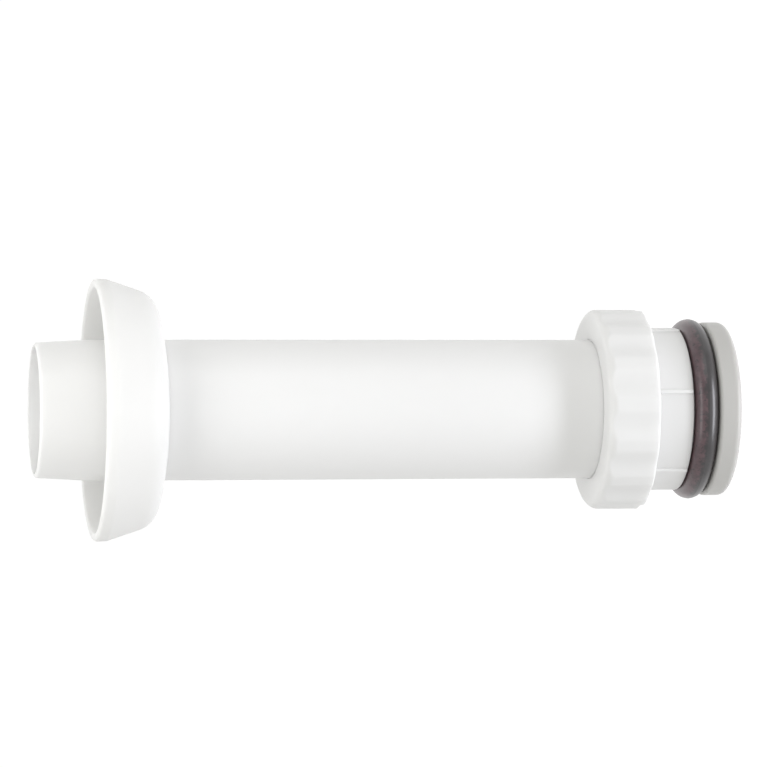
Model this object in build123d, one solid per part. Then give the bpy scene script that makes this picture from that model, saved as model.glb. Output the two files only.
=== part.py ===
from build123d import *
import math
import os

# Toilet connector pipe
# A flush pipe carries a soft cup at its pan end. At its cistern end a compression nut joins it to a
# short spigot with an O-ring. The pipe stands upright on the spigot: the origin is the centre of the
# spigot's end face, and +Z runs along the pipe to the pan. All lengths are in millimetres.

# Flush pipe
pipe_outer_diameter = 45.0
pipe_wall = 2.2
pipe_length = 207.4
stub_taper_length = 18.0
stub_taper = 1.0
stub_edge_round = 1.0
rounded_share = 0.8

# Pan cup, which slides on the pipe
stub_reach = 18.8
cup_depth = 21.9
cup_back_rise = 2.6
cup_floor_width = 14.2
cup_flare = 5.1
cup_wall = 3.0
cup_shoulder_round = 8.4
cup_rim_height = 4.0
cup_rim_round = 3.0
cup_lip_width = 2.5
cup_lip_round = 1.1
cup_lip_inner_round = 0.9
cup_hub_wall = 3.0
cup_hub_length = 10.0
cup_hub_round = 1.2
cup_grip_gap = 0.12

# Spigot sleeve, with its flange, O-ring groove and ribs
sleeve_length = 37.0
sleeve_wall = 3.75
socket_gap = 0.15
stop_ledge = 2.5
stop_wall = 1.9
flange_thickness = 6.9
flange_top_round = 2.5
flange_edge_round = 1.9
bore_edge_round = 0.6
groove_floor_wall = 1.45
thread_lead = 0.6
seat_rim = 1.2
seat_depth = 3.5
rib_count = 6
rib_width = 1.2
rib_height = 0.6
rib_root = 0.4
rib_end_gap = 0.8
rib_angle = -77.7

# O-ring
o_ring_section = 7.8
o_ring_seat_gap = 0.05
o_ring_side_gap = 0.5
o_ring_proud = 1.1

# Compression seal and slip ring, trapped under the nut
stack_gap = 0.05
seal_pipe_gap = 0.05
seal_nose_width = 0.8
seal_head_thickness = 2.6
seal_side_gap = 1.0
slip_ring_thickness = 1.45
slip_ring_pipe_gap = 0.3
slip_ring_side_gap = 0.4

# Coupling nut
thread_height = 1.3
thread_play = 0.3
nut_wall = 4.5
nut_length = 16.5
nut_end_wall = 3.3
nut_pipe_gap = 0.3
nut_corner_round = 3.0
nut_foot_chamfer = 1.2
grip_count = 15
grip_depth = 0.9
grip_radius = 12.0
grip_angle = -75.0

# Radii, worked outwards from the pipe
pipe_radius = pipe_outer_diameter / 2
pipe_bore_radius = pipe_radius - pipe_wall
stub_mouth_radius = pipe_radius - stub_taper
socket_radius = pipe_radius + socket_gap
sleeve_radius = socket_radius + sleeve_wall
bore_radius = pipe_radius - stop_ledge
groove_floor_radius = bore_radius + groove_floor_wall
o_ring_inner_radius = groove_floor_radius + o_ring_seat_gap
o_ring_centre_radius = o_ring_inner_radius + o_ring_section / 2
flange_radius = o_ring_inner_radius + o_ring_section - o_ring_proud
seat_mouth_radius = sleeve_radius - seat_rim
seal_inner_radius = pipe_radius + seal_pipe_gap
nut_bore_radius = sleeve_radius + thread_height + thread_play
nut_radius = nut_bore_radius + nut_wall
seal_head_radius = nut_bore_radius - seal_side_gap
cup_bore_radius = pipe_radius + cup_grip_gap
cup_hub_radius = cup_bore_radius + cup_hub_wall
cup_shoulder_radius = pipe_radius + cup_floor_width
cup_rim_radius = cup_shoulder_radius + cup_flare

# Heights, worked upwards from the spigot's end face
groove_top = flange_thickness + o_ring_section + 2 * o_ring_side_gap
pipe_foot = groove_top + stop_wall
pipe_top = pipe_foot + pipe_length
seat_foot = sleeve_length - seat_depth
seal_head_foot = sleeve_length + stack_gap
slip_ring_foot = seal_head_foot + seal_head_thickness + stack_gap
nut_end_foot = slip_ring_foot + slip_ring_thickness + stack_gap
nut_top = nut_end_foot + nut_end_wall
nut_foot = nut_top - nut_length
cup_mouth = pipe_top - stub_reach
cup_back = cup_mouth - cup_depth


def turned(corners):
    """Turn a closed outline about the pipe's axis. Each corner is (radius, height, rounding)."""
    outline = make_face(Polyline(*[(radius, height) for radius, height, _ in corners], close=True))
    for radius, height, rounding in corners:
        if rounding:
            corner = outline.vertices().sort_by_distance((radius, height))[0]
            outline = fillet(corner, rounding)
    return revolve(Plane.XZ * outline, Axis.Z)


def spread(piece, count, first_angle):
    """Copy a piece round the pipe's axis at equal steps."""
    step = 360 / count
    return [Rot(0, 0, first_angle + step * place) * piece for place in range(count)]


def flush_pipe():
    """Straight tube that stands on the sleeve's ledge and narrows a little towards its open mouth."""
    mouth_wall = stub_mouth_radius - pipe_bore_radius
    edge_round = min(stub_edge_round, rounded_share * mouth_wall)
    return turned([
        (pipe_bore_radius, pipe_foot, 0),
        (pipe_radius, pipe_foot, 0),
        (pipe_radius, pipe_top - stub_taper_length, 0),
        (stub_mouth_radius, pipe_top, edge_round),
        (pipe_bore_radius, pipe_top, 0),
    ])


def pan_cup():
    """Flared cup with an upright rim, a shallow cone for its back and a hub that grips the pipe."""
    side_height = cup_depth - cup_back_rise - cup_rim_height
    side_lean = cup_flare / side_height
    back_lean = cup_back_rise / (cup_shoulder_radius - cup_bore_radius)
    side_offset = cup_wall * math.hypot(1, side_lean)
    back_offset = cup_wall * math.hypot(1, back_lean)
    # The inner corner is where the inside of the wall crosses the inside of the back
    corner_inset = (side_offset - side_lean * back_offset) / (1 - side_lean * back_lean)
    inner_radius = cup_shoulder_radius - corner_inset
    inner_height = cup_back + back_offset + back_lean * (inner_radius - cup_bore_radius)
    inner_mouth_radius = cup_rim_radius - cup_lip_width
    floor_at_hub = cup_back + back_offset + back_lean * cup_hub_wall
    inner_round = cup_shoulder_round - cup_wall
    return turned([
        (cup_bore_radius, cup_back, 0),
        (cup_shoulder_radius, cup_back + cup_back_rise, cup_shoulder_round),
        (cup_rim_radius, cup_mouth - cup_rim_height, cup_rim_round),
        (cup_rim_radius, cup_mouth, cup_lip_round),
        (inner_mouth_radius, cup_mouth, cup_lip_inner_round),
        (inner_radius, inner_height, inner_round),
        (cup_hub_radius, floor_at_hub, cup_hub_round),
        (cup_hub_radius, cup_back + cup_hub_length, cup_hub_round),
        (cup_bore_radius, cup_back + cup_hub_length, 0),
    ])


def spigot_sleeve():
    """Socket for the pipe with a conical mouth, thin ribs outside, an O-ring groove and an end flange."""
    body = turned([
        (bore_radius, 0, bore_edge_round),
        (flange_radius, 0, flange_edge_round),
        (flange_radius, flange_thickness, flange_top_round),
        (groove_floor_radius, flange_thickness, 0),
        (groove_floor_radius, groove_top, 0),
        (sleeve_radius, groove_top, 0),
        (sleeve_radius, sleeve_length - thread_lead, 0),
        (sleeve_radius - thread_lead, sleeve_length, 0),
        (seat_mouth_radius, sleeve_length, 0),
        (socket_radius, seat_foot, 0),
        (socket_radius, pipe_foot, 0),
        (bore_radius, pipe_foot, 0),
    ])
    rib_depth = rib_root + rib_height
    rib_centre = sleeve_radius + rib_height - rib_depth / 2
    rib_length = nut_foot - rib_end_gap - groove_top
    rib = Pos(rib_centre, 0, groove_top + rib_length / 2) * Box(rib_depth, rib_width, rib_length)
    return body + spread(rib, rib_count, rib_angle)


def o_ring():
    """Round rubber ring that lies in the groove and stands proud of the flange."""
    ring_height = flange_thickness + o_ring_side_gap + o_ring_section / 2
    return Pos(0, 0, ring_height) * Torus(o_ring_centre_radius, o_ring_section / 2)


def compression_seal():
    """Rubber ring whose conical nose is pressed between the pipe and the sleeve's mouth."""
    seat_lean = (seat_mouth_radius - socket_radius) / seat_depth
    nose_radius = seal_inner_radius + seal_nose_width
    nose_height = seat_foot + stack_gap + (nose_radius - socket_radius) / seat_lean
    return turned([
        (seal_inner_radius, nose_height, 0),
        (nose_radius, nose_height, 0),
        (seat_mouth_radius, seal_head_foot, 0),
        (seal_head_radius, seal_head_foot, 0),
        (seal_head_radius, seal_head_foot + seal_head_thickness, 0),
        (seal_inner_radius, seal_head_foot + seal_head_thickness, 0),
    ])


def slip_ring():
    """Flat ring between the seal and the nut, which lets the nut turn without dragging the seal."""
    return turned([
        (pipe_radius + slip_ring_pipe_gap, slip_ring_foot, 0),
        (nut_bore_radius - slip_ring_side_gap, slip_ring_foot, 0),
        (nut_bore_radius - slip_ring_side_gap, slip_ring_foot + slip_ring_thickness, 0),
        (pipe_radius + slip_ring_pipe_gap, slip_ring_foot + slip_ring_thickness, 0),
    ])


def coupling_nut():
    """Nut with an end wall, a plain bore at the thread's root and shallow finger flutes outside."""
    body = turned([
        (nut_bore_radius + thread_lead, nut_foot, 0),
        (nut_radius - nut_foot_chamfer, nut_foot, 0),
        (nut_radius, nut_foot + nut_foot_chamfer, 0),
        (nut_radius, nut_top, nut_corner_round),
        (pipe_radius + nut_pipe_gap, nut_top, 0),
        (pipe_radius + nut_pipe_gap, nut_end_foot, 0),
        (nut_bore_radius, nut_end_foot, 0),
        (nut_bore_radius, nut_foot + thread_lead, 0),
    ])
    flute_centre = nut_radius - grip_depth + grip_radius
    flute = Pos(flute_centre, 0, nut_foot + nut_length / 2) * Cylinder(grip_radius, 2 * nut_length)
    return body - spread(flute, grip_count, grip_angle)


pieces = {
    "flush_pipe": flush_pipe(),
    "pan_cup": pan_cup(),
    "spigot_sleeve": spigot_sleeve(),
    "o_ring": o_ring(),
    "compression_seal": compression_seal(),
    "slip_ring": slip_ring(),
    "coupling_nut": coupling_nut(),
}

os.makedirs("parts", exist_ok=True)
for name, piece in pieces.items():
    export_step(piece, f"parts/{name}.step")
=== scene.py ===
"""Toilet connector pipe, dressed for rendering.

A white flush pipe carries a soft flared cup. A fluted coupling nut joins it to a ribbed spigot sleeve with
a dark O-ring. The pipe stands on the spigot's end face, which is z = 0, and all lengths are in metres.
"""

import math

import bpy
import numpy as np
from bpy.props import FloatProperty, FloatVectorProperty, IntProperty, PointerProperty
from mathutils import Matrix, Vector


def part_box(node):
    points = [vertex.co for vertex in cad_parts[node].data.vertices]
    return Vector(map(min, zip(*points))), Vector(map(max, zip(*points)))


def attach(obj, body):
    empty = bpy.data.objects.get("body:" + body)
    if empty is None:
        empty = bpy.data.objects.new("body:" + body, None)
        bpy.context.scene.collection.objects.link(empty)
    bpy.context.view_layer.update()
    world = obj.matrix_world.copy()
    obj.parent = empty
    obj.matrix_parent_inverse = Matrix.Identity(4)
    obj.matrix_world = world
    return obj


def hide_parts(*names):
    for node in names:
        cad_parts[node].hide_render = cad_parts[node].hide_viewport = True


bl_info = {
    "name": "Toilet connector pipe",
    "version": (1, 0, 0),
    "blender": (4, 5, 0),
    "location": "View3D > Sidebar > Connector",
    "description": "Builds the pieces, finishes and studio of a toilet connector pipe",
    "category": "Object",
}

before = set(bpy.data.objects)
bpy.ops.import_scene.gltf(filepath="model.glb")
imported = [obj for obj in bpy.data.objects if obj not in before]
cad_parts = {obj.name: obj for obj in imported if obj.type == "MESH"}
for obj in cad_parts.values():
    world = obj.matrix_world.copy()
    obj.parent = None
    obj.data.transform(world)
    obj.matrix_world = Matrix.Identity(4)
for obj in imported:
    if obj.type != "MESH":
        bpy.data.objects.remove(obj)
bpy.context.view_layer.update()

pipe_low, pipe_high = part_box("flush_pipe")
cup_low, cup_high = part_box("pan_cup")
_, sleeve_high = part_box("spigot_sleeve")
nut_low, nut_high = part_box("coupling_nut")
o_ring_low, o_ring_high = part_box("o_ring")

PIPE_RADIUS = pipe_high.x

# The least rounding of an edge, and the way from a straight run's ends to its first points, in metres
EDGE_ROUND = 0.0002
SUPPORT = 0.00005

# Longest steps along the outlines, in metres. Fine ones are for threads, and for the last of each rib.
PIPE_SPACING = 0.008
CUP_SPACING = 0.003
SLEEVE_SPACING = 0.0032
SLEEVE_FINE_SPACING = 0.00016
NUT_SPACING = 0.0024
NUT_FINE_SPACING = 0.0002
RIB_FINE_LENGTH = 0.001

# Numbers of points: on an arc, round the axis, across a rib, across a flute and round the O-ring's section
ARC_POINTS = 9
PIPE_POINTS = 288
CUP_POINTS = 320
SLEEVE_POINTS = 240
RIB_POINTS = 23
FLUTE_POINTS = 32
O_RING_POINTS = 320
SECTION_POINTS = 96

# Where ribs, threads and the O-ring's moulding line end or fade out, in metres
RIB_END_GAP = 0.0008
RIB_END_FADE = 0.0004
RIB_SIDE_FADE = 0.00018
THREAD_FADE = 0.001
THREAD_RUN = 0.002
FLASH_WIDTH = 0.00015


def length(name, description, default):
    """A length in metres that a user may change."""
    return FloatProperty(name=name, description=description, default=default, unit="LENGTH", precision=5)


def colour(name, description, default):
    """A linear colour that a user may change."""
    return FloatVectorProperty(name=name, description=description, default=default, subtype="COLOR",
                               min=0, max=1)


class PipeSettings(bpy.types.PropertyGroup):
    """Sizes of the flush pipe and the colour of the white plastic."""

    wall: length("Wall", "Thickness of the pipe's wall", 0.0022)
    taper_length: length("Taper length", "How much of the stub narrows towards the mouth", 0.018)
    taper: length("Taper", "How much the stub's radius shrinks at the mouth", 0.001)
    edge: length("Mouth edge", "Rounding of the stub's mouth", 0.001)
    white: colour("White plastic", "Colour of the pipe", (0.85, 0.85, 0.845))


class CupSettings(bpy.types.PropertyGroup):
    """Sizes and colour of the pan cup."""

    back_rise: length("Back rise", "Height of the cone behind the cup", 0.0026)
    floor_width: length("Floor width", "From the pipe to the cup's shoulder", 0.0142)
    wall: length("Wall", "Thickness of the cup's wall", 0.003)
    shoulder: length("Shoulder", "Rounding of the cup's shoulder", 0.0084)
    rim_height: length("Rim height", "Height of the upright rim", 0.004)
    rim_round: length("Rim rounding", "Rounding where the wall turns into the rim", 0.003)
    lip_width: length("Lip width", "Thickness of the lip at the mouth", 0.0025)
    lip: length("Lip", "Rounding of the lip's outer edge", 0.0011)
    inner_lip: length("Inner lip", "Rounding of the lip's inner edge", 0.0009)
    hub_wall: length("Hub wall", "Thickness of the hub that grips the pipe", 0.003)
    hub_length: length("Hub length", "Length of the hub along the pipe", 0.01)
    hub_round: length("Hub rounding", "Rounding of the hub's edges", 0.0012)
    grip_gap: length("Grip gap", "Room between the hub and the pipe", 0.00012)
    white: colour("White rubber", "Colour of the cup", (0.83, 0.829, 0.82))


class SleeveSettings(bpy.types.PropertyGroup):
    """Sizes of the spigot sleeve, and the painted shade on its flange."""

    wall: length("Wall", "Thickness of the socket's wall", 0.00375)
    socket_gap: length("Socket gap", "Room between the pipe and the socket", 0.00015)
    stop_ledge: length("Stop ledge", "Width of the ledge that the pipe stands on", 0.0025)
    bore_edge: length("Bore edge", "Rounding of the bore at the end face", 0.0006)
    flange_round: length("Flange rounding", "Rounding of the flange's upper edge", 0.0013)
    flange_edge: length("Flange edge", "Rounding of the flange's lower edge", 0.0019)
    groove_wall: length("Groove wall", "Thickness of the wall under the O-ring", 0.00145)
    groove_gap: length("Groove gap", "Room above the O-ring", 0.0005)
    flange_gap: length("Flange gap", "Room between the O-ring and the flange", 0.00005)
    seat_rim: length("Seat rim", "Width of the rim round the sleeve's mouth", 0.0012)
    seat_depth: length("Seat depth", "Depth of the conical mouth", 0.0035)
    rib_count: IntProperty(name="Ribs", description="Thin ribs along the sleeve", default=6, min=1)
    rib_width: length("Rib width", "Width of a rib", 0.0012)
    rib_height: length("Rib height", "How far a rib stands out", 0.0006)
    rib_angle: FloatProperty(name="Rib angle", description="Where the first rib is",
                             default=math.radians(-77.7), subtype="ANGLE")
    white: colour("Moulded white", "Colour of the sleeve, nut and slip ring", (0.812, 0.812, 0.806))
    # Painted shade: the flange below the O-ring is painted grey, standing in for shade on the white moulding
    flange_painted_shade: colour("Flange grey", "Colour of the flange", (0.53, 0.525, 0.507))


class NutSettings(bpy.types.PropertyGroup):
    """Sizes of the coupling nut and of its thread."""

    radius: length("Radius", "Outer radius over the lands", 0.0325)
    bore: length("Bore", "Radius at the root of the nut's thread", 0.028)
    end_wall: length("End wall", "Thickness of the nut's end wall", 0.0033)
    pipe_gap: length("Pipe gap", "Room between the nut and the pipe", 0.00006)
    corner: length("Corner", "Rounding of the upper corner", 0.003)
    foot_chamfer: length("Foot chamfer", "Chamfer on the lower corner", 0.0003)
    grip_count: IntProperty(name="Flutes", description="Finger flutes round the nut", default=15, min=3)
    grip_depth: length("Flute depth", "How deep a flute is", 0.0009)
    grip_radius: length("Flute radius", "Radius of a flute's hollow", 0.012)
    grip_blend: length("Flute blend", "Softness of a flute's edges", 0.0008)
    grip_angle: FloatProperty(name="Flute angle", description="Where the first flute is",
                              default=math.radians(-75), subtype="ANGLE")
    pitch: length("Pitch", "Rise of the thread in one turn", 0.003)
    thread_height: length("Thread height", "Height of the sleeve's thread", 0.0013)
    inner_thread: length("Inner thread", "Height of the nut's thread, which clears the seal", 0.0009)
    thread_foot: length("Thread foot", "Width of the ridge at its foot", 0.0016)
    thread_crest: length("Thread crest", "Width of the ridge at its crest", 0.0006)
    thread_lead: length("Thread lead", "Chamfer where the thread starts", 0.0006)


class RubberSettings(bpy.types.PropertyGroup):
    """Colours of the rubber rings with the painted light on the O-ring's upper half, and the O-ring's
    moulding line.
    """

    o_ring: colour("O-ring", "Colour of the O-ring", (0.016, 0.013, 0.014))
    # Painted light: the O-ring's upper half is painted a lighter brown
    o_ring_painted_light: colour("O-ring brown", "Colour of the O-ring's upper half", (0.068, 0.031, 0.038))
    seal: colour("Seal", "Colour of the compression seal", (0.03, 0.03, 0.032))
    flash: length("Flash line", "Height of the moulding line round the O-ring", 0.00006)


class StageSettings(bpy.types.PropertyGroup):
    """Studio and camera."""

    sky: FloatProperty(name="Sky", description="Brightness of the room above", default=0.63, min=0)
    table: FloatProperty(name="Light table", description="Glow of the table below", default=0.42, min=0)
    key: FloatProperty(name="Key light", description="Power of the lamp under the table", default=4.9,
                       min=0, unit="POWER")
    pan_side: FloatProperty(name="Pan side light", description="Power of the lamp beyond the stub",
                            default=0.46, min=0, unit="POWER")
    upper: FloatProperty(name="Upper light", description="Power of the lamp above the picture", default=1.3,
                         min=0, unit="POWER")
    fill: colour("Fill colour", "Colour of the room's and the table's light", (1.0, 0.997, 0.972))
    key_colour: colour("Key colour", "Colour of the lamp under the table", (0.93, 0.94, 1.0))
    distance: length("Distance", "From the camera to the pipe", 1.367)
    elevation: FloatProperty(name="Elevation", description="How far the camera looks down the pipe",
                             default=math.radians(10.2), subtype="ANGLE")
    roll: FloatProperty(name="Roll", description="Lean of the pipe in the picture",
                        default=math.radians(0.08), subtype="ANGLE")


class ConnectorSettings(bpy.types.PropertyGroup):
    """All the settings of the connector pipe."""

    pipe: PointerProperty(type=PipeSettings)
    cup: PointerProperty(type=CupSettings)
    sleeve: PointerProperty(type=SleeveSettings)
    nut: PointerProperty(type=NutSettings)
    rubber: PointerProperty(type=RubberSettings)
    stage: PointerProperty(type=StageSettings)


# Surfaces

def unit(vectors):
    """Vectors of the same directions and length 1."""
    return vectors / np.linalg.norm(vectors, axis=-1, keepdims=True)


def rounded_outline(corners):
    """Points round a closed outline whose corners are arcs. Each corner is (radius, height, rounding).

    Where the sides of a corner stand 2 h apart, the arc of radius r has its centre on the bisector,
    r / sin h from the corner, and touches the sides r / tan h from it. The points between the two
    touching points are found by turning one radius evenly into the other.
    """
    corners = np.asarray(corners, float)
    tip = corners[:, :2]
    rounding = np.maximum(corners[:, 2:], EDGE_ROUND)
    to_last = unit(np.roll(tip, 1, axis=0) - tip)
    to_next = unit(np.roll(tip, -1, axis=0) - tip)
    half = np.arccos((to_last * to_next).sum(axis=1, keepdims=True)) / 2
    centre = tip + unit(to_last + to_next) * rounding / np.sin(half)
    first = unit(tip + to_last * rounding / np.tan(half) - centre)
    last = unit(tip + to_next * rounding / np.tan(half) - centre)
    sweep = (math.pi - 2 * half)[:, None]
    share = np.linspace(0, 1, ARC_POINTS)[None, :, None]
    turned = np.sin((1 - share) * sweep) * first[:, None] + np.sin(share * sweep) * last[:, None]
    return (centre[:, None] + rounding[:, None] * turned / np.sin(sweep)).reshape(-1, 2)


def spaced_outline(points, longest, busy=None, finest=None):
    """The same closed outline with points added along its straight runs.

    A run gets a point close to each of its ends, which keeps its shading flat, and others at most
    longest apart. Where busy(radius, height) is true they are finest apart.
    """
    closed = np.vstack([points, points[:1]])
    step = np.linalg.norm(np.diff(closed, axis=0), axis=1)
    at = np.concatenate([[0], np.cumsum(step)])
    is_run = step > 4 * SUPPORT
    ends = np.concatenate([at[:-1][is_run] + SUPPORT, at[1:][is_run] - SUPPORT])
    spacing = finest or longest
    even = np.arange(0, at[-1], spacing)
    keep = np.arange(len(even)) % max(1, round(longest / spacing)) == 0
    if busy:
        keep |= busy(np.interp(even, at, closed[:, 0]), np.interp(even, at, closed[:, 1]))
    even = even[keep & is_run[np.searchsorted(at, even, side="right") - 1]]
    where = np.unique(np.concatenate([at[:-1], ends, even]))
    where = where[np.diff(where, append=at[-1]) > SUPPORT / 4]
    return np.interp(where, at, closed[:, 0]), np.interp(where, at, closed[:, 1])


def even_angles(count):
    """Equal steps once round the axis."""
    return np.arange(count) * 2 * math.pi / count


def ring_piece(name, radius, height, angle):
    """A closed ring: the outline (radius, height) is carried round z, and radius may change with angle.

    Point (i, j) is (r cos a, r sin a, z) at outline point i and angle j, and both ways round are joined up.
    """
    rows, columns = len(height), len(angle)
    radius = np.broadcast_to(np.reshape(radius, (rows, -1)), (rows, columns))
    height = np.broadcast_to(np.reshape(height, (rows, -1)), (rows, columns))
    points = np.stack([radius * np.cos(angle), radius * np.sin(angle), height], axis=-1)
    index = np.arange(rows * columns).reshape(rows, columns)
    across = np.roll(index, -1, axis=1)
    above = np.roll(index, -1, axis=0)
    corner = np.roll(across, -1, axis=0)
    faces = np.stack([index, across, corner, above], axis=-1).reshape(-1, 4)
    mesh = bpy.data.meshes.new(name)
    mesh.vertices.add(points.size // 3)
    mesh.vertices.foreach_set("co", points.ravel())
    mesh.loops.add(faces.size)
    mesh.loops.foreach_set("vertex_index", faces.ravel())
    mesh.polygons.add(len(faces))
    mesh.polygons.foreach_set("loop_start", np.arange(0, faces.size, 4))
    mesh.polygons.foreach_set("use_smooth", np.ones(len(faces), bool))
    mesh.update(calc_edges=True)
    mesh.validate()
    piece = bpy.data.objects.new(name, mesh)
    bpy.context.scene.collection.objects.link(piece)
    return piece


def smooth_least(first, second, blend):
    """The smaller of two surfaces, with the crease between them rounded over blend."""
    share = np.clip(0.5 + 0.5 * (second - first) / blend, 0, 1)
    return second + (first - second) * share - blend * share * (1 - share)


def smooth_rise(value, low, high):
    """0 below low, 1 above high and the curve 3 t^2 - 2 t^3 between."""
    share = np.clip((value - low) / (high - low), 0, 1)
    return share * share * (3 - 2 * share)


def thread_ridge(height, angle, sizes, phase):
    """A right-hand helical ridge, from 0 at its foot to 1 on its crest.

    The ridge's middle climbs one pitch a turn. The distance d to the nearest middle, along z, gives
    (foot / 2 - d) / (foot / 2 - crest / 2), held between 0 and 1.
    """
    climb = height - sizes.pitch * (angle / (2 * math.pi) + phase)
    distance = np.abs((climb + sizes.pitch / 2) % sizes.pitch - sizes.pitch / 2)
    return np.clip((sizes.thread_foot / 2 - distance) * 2 / (sizes.thread_foot - sizes.thread_crest), 0, 1)


def place(piece, body, node, material):
    """Give a piece its finish, let it ride on its body and stand for its node."""
    piece.data.materials.append(material)
    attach(piece, body)
    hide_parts(node)


# Finishes

class Wire:
    """An output socket. Arithmetic on it adds Math nodes to its tree."""

    def __init__(self, finish, socket):
        self.finish = finish
        self.socket = socket

    def math(self, operation, first, second):
        """A Math node on two values or wires."""
        return self.finish.node("ShaderNodeMath", {"operation": operation}, {0: first, 1: second})

    def __add__(self, other):
        return self.math("ADD", self, other)

    def __radd__(self, other):
        return self.math("ADD", other, self)

    def __mul__(self, other):
        return self.math("MULTIPLY", self, other)

    def __rmul__(self, other):
        return self.math("MULTIPLY", other, self)


class Finish:
    """A node tree that is written as calls and expressions."""

    def __init__(self, tree):
        self.tree = tree
        tree.nodes.clear()

    def node(self, kind, settings=None, inputs=None, output=0):
        """Add any node: settings first, then the values or links of its sockets. Gives one output."""
        made = self.tree.nodes.new(kind)
        for key, value in (settings or {}).items():
            setattr(made, key, value)
        for key, value in (inputs or {}).items():
            if isinstance(value, Wire):
                self.tree.links.new(value.socket, made.inputs[key])
            else:
                made.inputs[key].default_value = value
        return Wire(self, made.outputs[output]) if len(made.outputs) else None

    def place(self):
        """Coordinates in the piece's own frame."""
        return self.node("ShaderNodeTexCoord", output="Object")

    def stretched(self, scale):
        """Object coordinates scaled along x, y and z."""
        return self.node("ShaderNodeMapping", None, {"Vector": self.place(), "Scale": scale})

    def noise(self, vector, scale, detail=2.0, roughness=0.5):
        """Soft noise from 0 to 1."""
        return self.node("ShaderNodeTexNoise", None,
                         {"Vector": vector, "Scale": scale, "Detail": detail, "Roughness": roughness})

    def ramp(self, value, low, high):
        """0 where value is under low, 1 over high and smooth between."""
        return self.node("ShaderNodeMapRange", {"interpolation_type": "SMOOTHSTEP"},
                         {"Value": value, "From Min": low, "From Max": high})

    def mix(self, share, first, second):
        """A colour between two colours."""
        return self.node("ShaderNodeMix", {"data_type": "RGBA"}, {0: share, 6: first, 7: second}, 2)

    def bump(self, height, depth):
        """A normal from a height that runs from 0 to 1 over depth metres."""
        return self.node("ShaderNodeBump", None, {"Height": height, "Distance": depth, "Strength": 1.0})


def new_material(name, paint):
    """A material whose surface is the Principled shader with the sockets that paint(finish) gives."""
    material = bpy.data.materials.new(name)
    material.use_nodes = True
    finish = Finish(material.node_tree)
    surface = finish.node("ShaderNodeBsdfPrincipled", None, paint(finish))
    finish.node("ShaderNodeOutputMaterial", None, {"Surface": surface})
    return material


def rgba(rgb):
    """A colour with full alpha."""
    return (*rgb, 1.0)


def shade(rgb, share):
    """A colour times a number."""
    return tuple(channel * share for channel in rgb)


# Sockets that let light wander for about 2 mm in a white wall
SOFT_WALL = {"Subsurface Weight": 1.0, "Subsurface Radius": (1.0, 1.0, 1.0), "Subsurface Scale": 0.002}


def extruded_white(white):
    """White pipe plastic: soft gloss, with faint die lines along its length."""
    def paint(finish):
        cloud = finish.noise(finish.place(), scale=35.0, detail=3.0)
        die_lines = finish.noise(finish.stretched((900.0, 900.0, 6.0)), scale=1.0)
        return {
            "Base Color": finish.mix(cloud, rgba(white), rgba(shade(white, share=0.975))),
            "Roughness": 0.3 + 0.12 * die_lines,
            "Normal": finish.bump(die_lines, depth=0.000006),
            **SOFT_WALL,
        }
    return new_material("pipe_white", paint)


def moulded_white(name, white, painted_shade=None, painted_shade_top=0.0, painted_shade_foot=0.0):
    """White moulded plastic with a fine ripple. Below painted_shade_top it may turn to painted_shade, a
    darker colour painted in place of shade.
    """
    def paint(finish):
        cloud = finish.noise(finish.place(), scale=60.0, detail=3.0)
        ripple = finish.noise(finish.place(), scale=900.0)
        tint = finish.mix(cloud, rgba(white), rgba(shade(white, share=0.97)))
        if painted_shade:
            height = finish.node("ShaderNodeSeparateXYZ", None, {0: finish.place()}, "Z")
            # Painted shade: below the top height the white turns to the darker painted colour
            tint = finish.mix(finish.ramp(height, painted_shade_foot, painted_shade_top), rgba(painted_shade), tint)
        return {
            "Base Color": tint,
            "Roughness": 0.34 + 0.1 * ripple,
            "Normal": finish.bump(ripple, depth=0.000008),
            **SOFT_WALL,
        }
    return new_material(name, paint)


def soft_white(white):
    """White rubber: satin, with a fine grain."""
    def paint(finish):
        cloud = finish.noise(finish.place(), scale=70.0, detail=3.0)
        grain = finish.noise(finish.place(), scale=2200.0)
        return {
            "Base Color": finish.mix(cloud, rgba(white), rgba(shade(white, share=0.97))),
            "Roughness": 0.46 + 0.12 * grain,
            "Normal": finish.bump(grain, depth=0.00001),
            **SOFT_WALL,
        }
    return new_material("cup_white_rubber", paint)


def greased_rubber(dark, brown, middle, soft):
    """Dark rubber with a film of grease that breaks up its shine. Above its middle height it is painted a
    lighter, mottled brown: painted light on the ring's upper side.
    """
    def paint(finish):
        film = finish.noise(finish.place(), scale=260.0, detail=4.0, roughness=0.6)
        grain = finish.noise(finish.place(), scale=1800.0, detail=3.0)
        blotches = finish.noise(finish.place(), scale=520.0, detail=4.0, roughness=0.65)
        mottle = finish.ramp(blotches, low=0.36, high=0.66)
        specks = finish.ramp(finish.noise(finish.place(), scale=900.0, detail=1.0), low=0.64, high=0.7)
        height = finish.node("ShaderNodeSeparateXYZ", None, {0: finish.place()}, "Z")
        ragged = height + soft * (film + mottle)
        # Painted light: above the middle height the ring turns a lighter, mottled brown
        upper = finish.ramp(ragged, low=middle + 1.2 * soft, high=middle + 2.8 * soft)
        mottled_painted_light = finish.mix(mottle, rgba(shade(brown, share=0.75)), rgba(shade(brown, share=1.1)))
        tint = finish.mix(upper, rgba(dark), mottled_painted_light)
        return {
            "Base Color": finish.mix(0.7 * specks, tint, rgba(shade(dark, share=0.4))),
            "Roughness": 0.28 + 0.2 * film,
            "Coat Weight": 0.1 + film,
            "Coat Roughness": 0.26,
            "Normal": finish.bump(film * 0.7 + grain * 0.3, depth=0.00002),
        }
    return new_material("o_ring_rubber", paint)


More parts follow.
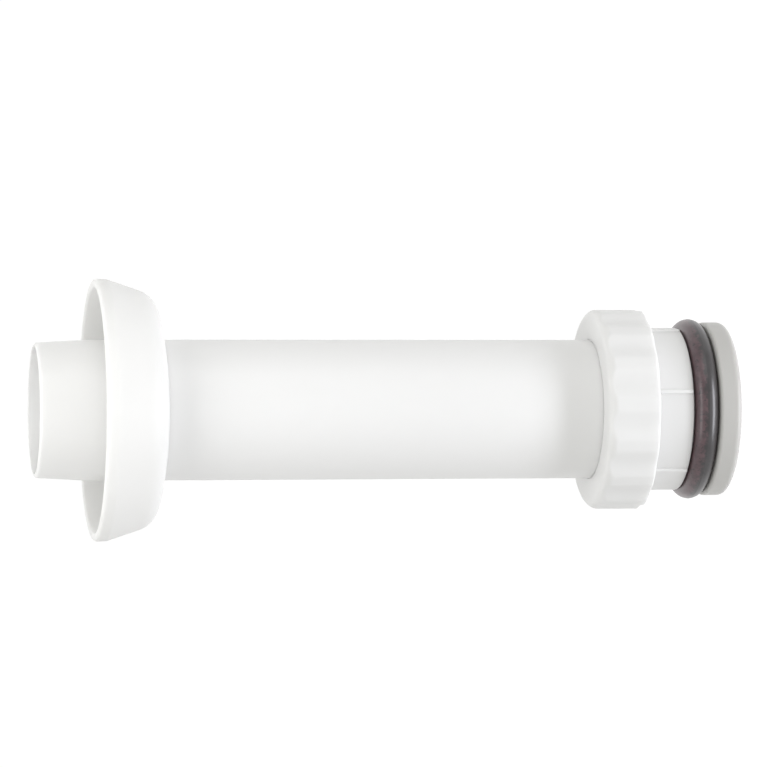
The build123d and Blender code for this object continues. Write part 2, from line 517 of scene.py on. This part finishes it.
def matt_rubber(dark):
    """Plain black rubber with a fine bloom."""
    def paint(finish):
        bloom = finish.noise(finish.place(), scale=400.0, detail=3.0)
        return {
            "Base Color": finish.mix(bloom, rgba(dark), rgba(shade(dark, share=1.6))),
            "Roughness": 0.55 + 0.2 * bloom,
        }
    return new_material("seal_rubber", paint)


# Pieces

def settings():
    """The scene's settings for this connector."""
    return bpy.context.scene.connector


def sleeve_radius():
    """Outer radius of the sleeve, at the root of its thread."""
    sleeve = settings().sleeve
    return PIPE_RADIUS + sleeve.socket_gap + sleeve.wall


class CONNECTOR_OT_flush_pipe(bpy.types.Operator):
    """Build the long pipe with its tapered stub"""

    bl_idname = "connector.flush_pipe"
    bl_label = "Flush pipe"

    def execute(self, context):
        pipe = settings().pipe
        bore = PIPE_RADIUS - pipe.wall
        mouth = PIPE_RADIUS - pipe.taper
        # The corner where the taper starts is rounded by a radius as long as the taper
        outline = rounded_outline([
            (bore, pipe_low.z, 0),
            (PIPE_RADIUS, pipe_low.z, 0),
            (PIPE_RADIUS, pipe_high.z - pipe.taper_length, pipe.taper_length),
            (mouth, pipe_high.z, pipe.edge),
            (bore, pipe_high.z, 0),
        ])
        radius, height = spaced_outline(outline, PIPE_SPACING)
        piece = ring_piece("flush_pipe_tube", radius, height, even_angles(PIPE_POINTS))
        place(piece, "pipe", "flush_pipe", extruded_white(pipe.white))
        return {"FINISHED"}


class CONNECTOR_OT_pan_cup(bpy.types.Operator):
    """Build the flared cup that covers the pan's inlet"""

    bl_idname = "connector.pan_cup"
    bl_label = "Pan cup"

    def execute(self, context):
        cup = settings().cup
        bore = PIPE_RADIUS + cup.grip_gap
        hub = bore + cup.hub_wall
        shoulder = PIPE_RADIUS + cup.floor_width
        rim = cup_high.x
        side_lean = (rim - shoulder) / (cup_high.z - cup_low.z - cup.back_rise - cup.rim_height)
        back_lean = cup.back_rise / (shoulder - bore)
        side_offset = cup.wall * math.hypot(1, side_lean)
        back_offset = cup.wall * math.hypot(1, back_lean)
        # The inner corner is where the inside of the wall crosses the inside of the back
        inner = shoulder - (side_offset - side_lean * back_offset) / (1 - side_lean * back_lean)
        floor = cup_low.z + back_offset
        outline = rounded_outline([
            (bore, cup_low.z, 0),
            (shoulder, cup_low.z + cup.back_rise, cup.shoulder),
            (rim, cup_high.z - cup.rim_height, cup.rim_round),
            (rim, cup_high.z, cup.lip),
            (rim - cup.lip_width, cup_high.z, cup.inner_lip),
            (inner, floor + back_lean * (inner - bore), cup.shoulder - cup.wall),
            (hub, floor + back_lean * cup.hub_wall, cup.hub_round),
            (hub, cup_low.z + cup.hub_length, cup.hub_round),
            (bore, cup_low.z + cup.hub_length, 0),
        ])
        radius, height = spaced_outline(outline, CUP_SPACING)
        piece = ring_piece("pan_cup_collar", radius, height, even_angles(CUP_POINTS))
        place(piece, "cup", "pan_cup", soft_white(cup.white))
        return {"FINISHED"}


def rib_angles(sleeve):
    """Steps once round the axis, with closer ones across each rib."""
    reach = sleeve.rib_width / sleeve_radius()
    across = np.linspace(-reach, reach, RIB_POINTS)
    middles = sleeve.rib_angle + 2 * math.pi / sleeve.rib_count * np.arange(sleeve.rib_count)
    on_ribs = (middles[:, None] + across).ravel() % (2 * math.pi)
    return np.unique(np.concatenate([even_angles(SLEEVE_POINTS), on_ribs]).round(5))


def rib_ridge(height, angle, sleeve, foot, top):
    """1 on the ribs and 0 beside them.

    A rib reaches half its width to each side of its middle and runs from foot to top. Its sides and its
    top fade smoothly.
    """
    step = 2 * math.pi / sleeve.rib_count
    off_middle = np.abs((angle - sleeve.rib_angle + step / 2) % step - step / 2) * sleeve_radius()
    half = sleeve.rib_width / 2
    across = 1 - smooth_rise(off_middle, half - RIB_SIDE_FADE, half + RIB_SIDE_FADE)
    along = 1 - smooth_rise(height, top - RIB_END_FADE, top)
    return across * along * (height > foot)


class CONNECTOR_OT_spigot_sleeve(bpy.types.Operator):
    """Build the ribbed and threaded sleeve with its groove and flange"""

    bl_idname = "connector.spigot_sleeve"
    bl_label = "Spigot sleeve"

    def execute(self, context):
        sleeve = settings().sleeve
        nut = settings().nut
        outer = sleeve_radius()
        socket = PIPE_RADIUS + sleeve.socket_gap
        bore = PIPE_RADIUS - sleeve.stop_ledge
        flange = sleeve_high.x
        flange_top = o_ring_low.z - sleeve.flange_gap
        groove_top = o_ring_high.z + sleeve.groove_gap
        groove = bore + sleeve.groove_wall
        mouth = sleeve_high.z
        outline = rounded_outline([
            (bore, 0, sleeve.bore_edge),
            (flange, 0, sleeve.flange_edge),
            (flange, flange_top, sleeve.flange_round),
            (groove, flange_top, 0),
            (groove, groove_top, 0),
            (outer, groove_top, 0),
            (outer, mouth - nut.thread_lead, 0),
            (outer - nut.thread_lead, mouth, 0),
            (outer - sleeve.seat_rim, mouth, 0),
            (socket, mouth - sleeve.seat_depth, 0),
            (socket, pipe_low.z, 0),
            (bore, pipe_low.z, 0),
        ])
        rib_top = nut_low.z - RIB_END_GAP

        def is_busy(radius, height):
            """True on the outer wall, where the ribs end and the thread climbs."""
            return (radius > outer - SUPPORT) & (height > rib_top - RIB_FINE_LENGTH)

        radius, height = spaced_outline(outline, SLEEVE_SPACING, is_busy, SLEEVE_FINE_SPACING)
        radius, height = radius[:, None], height[:, None]
        angle = rib_angles(sleeve)
        rib = rib_ridge(height, angle, sleeve, groove_top + EDGE_ROUND, rib_top)
        thread_foot = nut_low.z + nut.thread_lead
        ridge = thread_ridge(height, angle, nut, phase=0.0)
        ridge = ridge * smooth_rise(height, thread_foot, thread_foot + THREAD_FADE)
        ridge = ridge * (1 - smooth_rise(height, mouth - THREAD_RUN, mouth - nut.thread_lead))
        on_wall = radius > outer - SUPPORT
        radius = radius + on_wall * (sleeve.rib_height * rib + nut.thread_height * ridge)
        piece = ring_piece("spigot_sleeve_body", radius, height, angle)
        # The flange below the O-ring gets painted shade, a grey in place of shade
        material = moulded_white("sleeve_white", sleeve.white, sleeve.flange_painted_shade,
                                 painted_shade_top=o_ring_high.z, painted_shade_foot=o_ring_low.z)
        place(piece, "pipe", "spigot_sleeve", material)
        return {"FINISHED"}


def flute_radius(angle, nut):
    """Distance from the nut's axis to its flutes, which are round hollows at equal steps.

    With g the hollow's radius and c the distance to its axis, a line at the angle a from the flute's
    middle meets the hollow at c cos a - sqrt(g^2 - (c sin a)^2).
    """
    step = 2 * math.pi / nut.grip_count
    off_middle = (angle - nut.grip_angle + step / 2) % step - step / 2
    centre = nut.radius - nut.grip_depth + nut.grip_radius
    return centre * np.cos(off_middle) - np.sqrt(nut.grip_radius ** 2 - (centre * np.sin(off_middle)) ** 2)


class CONNECTOR_OT_coupling_nut(bpy.types.Operator):
    """Build the fluted nut with its inner thread"""

    bl_idname = "connector.coupling_nut"
    bl_label = "Coupling nut"

    def execute(self, context):
        nut = settings().nut
        hole = PIPE_RADIUS + nut.pipe_gap
        end_foot = nut_high.z - nut.end_wall
        outline = rounded_outline([
            (nut.bore + nut.thread_lead, nut_low.z, 0),
            (nut.radius - nut.foot_chamfer, nut_low.z, nut.foot_chamfer),
            (nut.radius, nut_low.z + nut.foot_chamfer, nut.foot_chamfer),
            (nut.radius, nut_high.z, nut.corner),
            (hole, nut_high.z, 0),
            (hole, end_foot, 0),
            (nut.bore, end_foot, 0),
            (nut.bore, nut_low.z + nut.thread_lead, 0),
        ])

        def is_bore(radius, height):
            """True on the threaded bore."""
            return np.abs(radius - nut.bore) < SUPPORT

        radius, height = spaced_outline(outline, NUT_SPACING, is_bore, NUT_FINE_SPACING)
        radius, height = radius[:, None], height[:, None]
        angle = even_angles(nut.grip_count * FLUTE_POINTS)
        fluted = smooth_least(radius, flute_radius(angle, nut), nut.grip_blend)
        ridge = thread_ridge(height, angle, nut, phase=0.5)
        ridge = ridge * smooth_rise(height, nut_low.z + nut.thread_lead, nut_low.z + THREAD_RUN)
        ridge = ridge * (1 - smooth_rise(height, sleeve_high.z - THREAD_FADE, sleeve_high.z))
        threaded = radius - is_bore(radius, height) * nut.inner_thread * ridge
        radius = np.where(radius > nut.radius - nut.corner, fluted, threaded)
        piece = ring_piece("coupling_nut_body", radius, height, angle)
        material = moulded_white("nut_white", settings().sleeve.white)
        place(piece, "nut", "coupling_nut", material)
        return {"FINISHED"}


class CONNECTOR_OT_rubber_rings(bpy.types.Operator):
    """Build the O-ring, and finish the seal and slip ring under the nut"""

    bl_idname = "connector.rubber_rings"
    bl_label = "Rubber rings"

    def execute(self, context):
        rubber = settings().rubber
        half = (o_ring_high.z - o_ring_low.z) / 2
        middle = (o_ring_low.z + o_ring_high.z) / 2
        # A circle that carries a low ridge exp(-(d / w)^2), with d the way along it from its outermost point
        around = even_angles(SECTION_POINTS)
        off_seam = np.minimum(around, 2 * math.pi - around) * half
        reach = half - rubber.flash + rubber.flash * np.exp(-(off_seam / FLASH_WIDTH) ** 2)
        radius = o_ring_high.x - half + reach * np.cos(around)
        height = middle + reach * np.sin(around)
        piece = ring_piece("o_ring_rubber", radius, height, even_angles(O_RING_POINTS))
        material = greased_rubber(rubber.o_ring, rubber.o_ring_painted_light, middle, soft=half / 4)
        place(piece, "pipe", "o_ring", material)
        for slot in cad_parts["compression_seal"].material_slots:
            slot.material = matt_rubber(rubber.seal)
        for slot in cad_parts["slip_ring"].material_slots:
            slot.material = moulded_white("slip_ring_white", settings().sleeve.white)
        return {"FINISHED"}


# Studio

# The picture's side, the lens's focal length and the row of the pipe's axis, in pixels
PICTURE_SIDE = 768
FOCAL_PIXELS = 4240.0
AXIS_ROW = 409.5

# The sensor's width in millimetres, and the height on the pipe's axis that is aimed at, in metres
SENSOR = 36.0
AIM_HEIGHT = 0.1119

# Where the lamps stand and how wide they are, in metres
KEY_PLACE = (0.0, -0.4, -0.65)
KEY_SIZE = (0.7, 0.2)
PAN_SIDE_PLACE = (0.0, -0.165, 0.385)
PAN_SIDE_SIZE = (0.4, 0.15)
UPPER_PLACE = (1.0, -0.7, 0.2)
UPPER_SIZE = (0.7, 0.7)

# The light table's half width in metres, the grey of its paper and the glow that a camera sees
TABLE_REACH = 6.0
TABLE_GREY = (0.3, 0.3, 0.3)
TABLE_GLOW = 0.84

WHITE = (1.0, 1.0, 1.0)


def seen_white(finish, lit, glow):
    """lit for light that bounces, and glow where the camera, a reflection or a clear piece looks at it."""
    path = finish.node("ShaderNodeLightPath")
    rays = path.socket.node.outputs
    looked_at = Wire(finish, rays["Is Camera Ray"])
    for ray in ("Is Glossy Ray", "Is Transmission Ray"):
        looked_at = looked_at.math("MAXIMUM", looked_at, Wire(finish, rays[ray]))
    return finish.node("ShaderNodeMixShader", None, {0: looked_at, 1: lit, 2: glow})


class CONNECTOR_OT_stage(bpy.types.Operator):
    """Build the light table, the soft lights, the white room and the camera"""

    bl_idname = "connector.stage"
    bl_label = "Stage"

    def execute(self, context):
        stage = settings().stage
        scene = context.scene
        scene.view_settings.view_transform = "Standard"
        self.room(scene, stage)
        self.table(scene, stage)
        self.soft_light(scene, "key_soft_light", KEY_PLACE, KEY_SIZE, stage.key, stage.key_colour)
        self.soft_light(scene, "pan_side_soft_light", PAN_SIDE_PLACE, PAN_SIDE_SIZE, stage.pan_side)
        self.soft_light(scene, "upper_soft_light", UPPER_PLACE, UPPER_SIZE, stage.upper)
        self.camera(scene, stage)
        return {"FINISHED"}

    def room(self, scene, stage):
        """A dim room that looks white."""
        scene.world = bpy.data.worlds.new("studio_room")
        scene.world.use_nodes = True
        finish = Finish(scene.world.node_tree)
        dim = finish.node("ShaderNodeBackground", None, {"Color": rgba(stage.fill), "Strength": stage.sky})
        white = finish.node("ShaderNodeBackground", None, {"Color": rgba(WHITE), "Strength": 1.0})
        finish.node("ShaderNodeOutputWorld", None, {"Surface": seen_white(finish, dim, white)})

    def table(self, scene, stage):
        """A glowing white table that still takes the pipe's shadow."""
        mesh = bpy.data.meshes.new("light_table")
        corners = [(x * TABLE_REACH, y * TABLE_REACH, 0) for x, y in ((-1, -1), (1, -1), (1, 1), (-1, 1))]
        mesh.from_pydata(corners, [], [(0, 1, 2, 3)])
        material = bpy.data.materials.new("light_table")
        material.use_nodes = True
        finish = Finish(material.node_tree)
        paper = finish.node("ShaderNodeBsdfDiffuse", None, {"Color": rgba(TABLE_GREY)})
        lit = finish.node("ShaderNodeEmission", None, {"Color": rgba(stage.fill), "Strength": stage.table})
        glow = finish.node("ShaderNodeEmission", None, {"Color": rgba(WHITE), "Strength": TABLE_GLOW})
        surface = finish.node("ShaderNodeAddShader", None, {0: paper, 1: seen_white(finish, lit, glow)})
        finish.node("ShaderNodeOutputMaterial", None, {"Surface": surface})
        mesh.materials.append(material)
        table = bpy.data.objects.new("light_table", mesh)
        # The key lamp is under the table, which lets its light and its reflection through
        table.visible_shadow = False
        table.visible_glossy = False
        scene.collection.objects.link(table)

    def soft_light(self, scene, name, location, size, power, colour=WHITE):
        """A soft light that is turned to the middle of the pipe."""
        lamp = bpy.data.lights.new(name, "AREA")
        lamp.shape = "RECTANGLE"
        lamp.size, lamp.size_y = size
        lamp.energy = power
        lamp.color = colour
        light = bpy.data.objects.new(name, lamp)
        light.location = location
        aim = Vector((0, 0, AIM_HEIGHT)) - light.location
        light.rotation_euler = aim.to_track_quat("-Z", "Y").to_euler()
        scene.collection.objects.link(light)

    def camera(self, scene, stage):
        """A long lens turned on its side, so that the pipe lies across the picture."""
        data = bpy.data.cameras.new("camera")
        data.sensor_width = SENSOR
        data.lens = SENSOR * FOCAL_PIXELS / PICTURE_SIDE
        away = Vector((0, -math.cos(stage.elevation), math.sin(stage.elevation)))
        up = Vector((1, 0, 0))
        right = up.cross(away)
        lean = Matrix.Rotation(-stage.roll, 3, away)
        axes = Matrix((lean @ right, lean @ up, away)).transposed()
        drop = (AXIS_ROW - PICTURE_SIDE / 2) * stage.distance / FOCAL_PIXELS
        camera = bpy.data.objects.new("camera", data)
        camera.matrix_world = axes.to_4x4()
        camera.location = Vector((0, 0, AIM_HEIGHT)) + away * stage.distance + up * drop
        scene.collection.objects.link(camera)
        scene.camera = camera


class CONNECTOR_PT_sidebar(bpy.types.Panel):
    """Buttons and settings of the connector pipe"""

    bl_idname = "CONNECTOR_PT_sidebar"
    bl_label = "Connector pipe"
    bl_space_type = "VIEW_3D"
    bl_region_type = "UI"
    bl_category = "Connector"

    def draw(self, context):
        for operator, group in STEPS:
            self.layout.operator(operator.bl_idname)
            box = self.layout.box()
            values = getattr(context.scene.connector, group)
            for name in values.__annotations__:
                box.prop(values, name)


STEPS = (
    (CONNECTOR_OT_flush_pipe, "pipe"),
    (CONNECTOR_OT_pan_cup, "cup"),
    (CONNECTOR_OT_spigot_sleeve, "sleeve"),
    (CONNECTOR_OT_coupling_nut, "nut"),
    (CONNECTOR_OT_rubber_rings, "rubber"),
    (CONNECTOR_OT_stage, "stage"),
)

CLASSES = (
    PipeSettings, CupSettings, SleeveSettings, NutSettings, RubberSettings, StageSettings, ConnectorSettings,
    *(operator for operator, _ in STEPS), CONNECTOR_PT_sidebar,
)


def register():
    """Add the classes and the scene's settings."""
    for each in CLASSES:
        bpy.utils.register_class(each)
    bpy.types.Scene.connector = PointerProperty(type=ConnectorSettings)


def unregister():
    """Take the classes and the scene's settings away again."""
    del bpy.types.Scene.connector
    for each in reversed(CLASSES):
        bpy.utils.unregister_class(each)


def main():
    register()
    bpy.ops.connector.flush_pipe()
    bpy.ops.connector.pan_cup()
    bpy.ops.connector.spigot_sleeve()
    bpy.ops.connector.coupling_nut()
    bpy.ops.connector.rubber_rings()
    bpy.ops.connector.stage()


if __name__ == "__main__":
    main()
